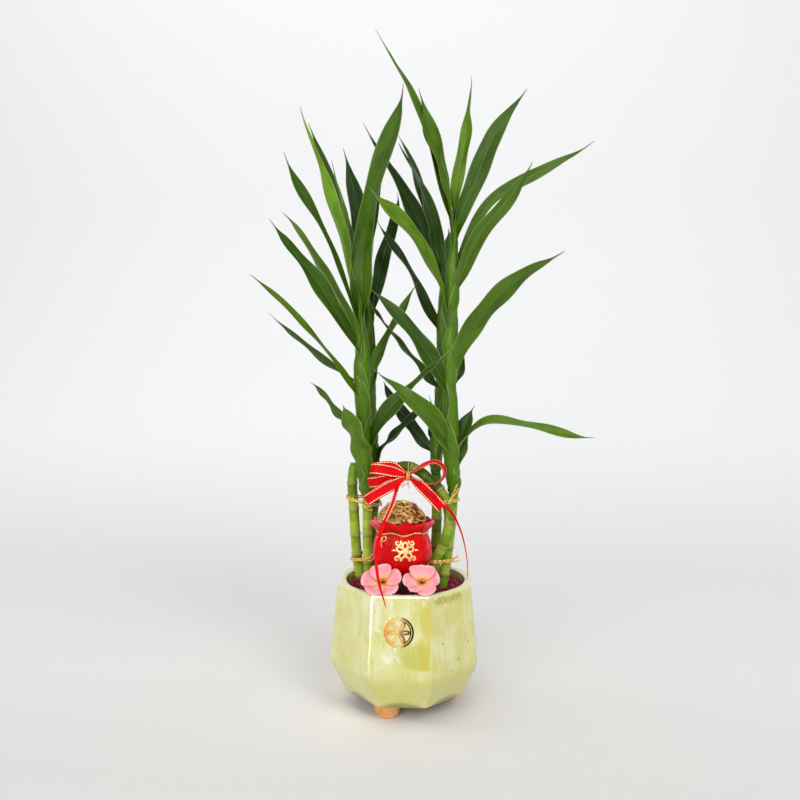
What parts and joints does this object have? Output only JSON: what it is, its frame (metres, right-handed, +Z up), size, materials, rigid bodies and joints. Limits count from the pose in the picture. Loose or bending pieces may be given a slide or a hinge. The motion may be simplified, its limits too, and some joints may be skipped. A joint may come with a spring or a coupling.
{
  "type": "lucky bamboo in a footed pot",
  "caption": "Cut bamboo-like canes with leafy shoots and a bent arch, tied with gold wire, in a footed octagonal pot with gravel, a red bow, a coin bag and cloth blossoms.",
  "frame": {"origin": "centre of the whole part's footprint box, at the level of the feet's undersides", "axes": "+Z up along the canes, -Y towards the front with the bow and the bag, +X to the right of the front"},
  "size_m": [0.2996, 0.1646, 0.5653],
  "materials": {
    "glaze": "glossy pearl lustre glaze, pale yellow-green",
    "clay": "bare unglazed terracotta",
    "soil": "damp dark potting mix",
    "gravel": "dyed crimson chippings, matt",
    "cane": "smooth green cane with pale node rings",
    "leaf": "satin green leaf",
    "gold": "bright gold wire",
    "ribbon": "satin ribbon with gold edge threads",
    "lacquer": "glossy red moulded resin",
    "coin": "antique gold paint on moulded resin",
    "pick": "green moulded plastic",
    "petal": "matt pink petal cloth"
  },
  "bodies": {
    "root": {"pot": "glaze", "foot_front": "clay", "foot_right": "clay", "foot_back": "clay", "soil": "soil", "gravel": "gravel", "cane_left_short": "cane", "cane_left_front": "cane", "cane_left_back": "cane", "cane_arch": "cane", "cane_right_front": "cane", "cane_right_back": "cane", "shoot_left_front": "leaf", "shoot_left_back": "leaf", "shoot_right_front": "leaf", "shoot_right_back": "leaf", "tie_left_upper": "gold", "tie_left_lower": "gold", "tie_right_upper": "gold", "tie_right_lower": "gold", "bow_wire": "gold", "ribbon_bow": "ribbon", "money_bag": "lacquer", "bag_coins": "coin", "bag_cord": "gold", "bag_pick": "pick", "blossom_left": "petal", "blossom_left_pick": "pick", "blossom_right": "petal", "blossom_right_pick": "pick"}
  },
  "joints": []
}
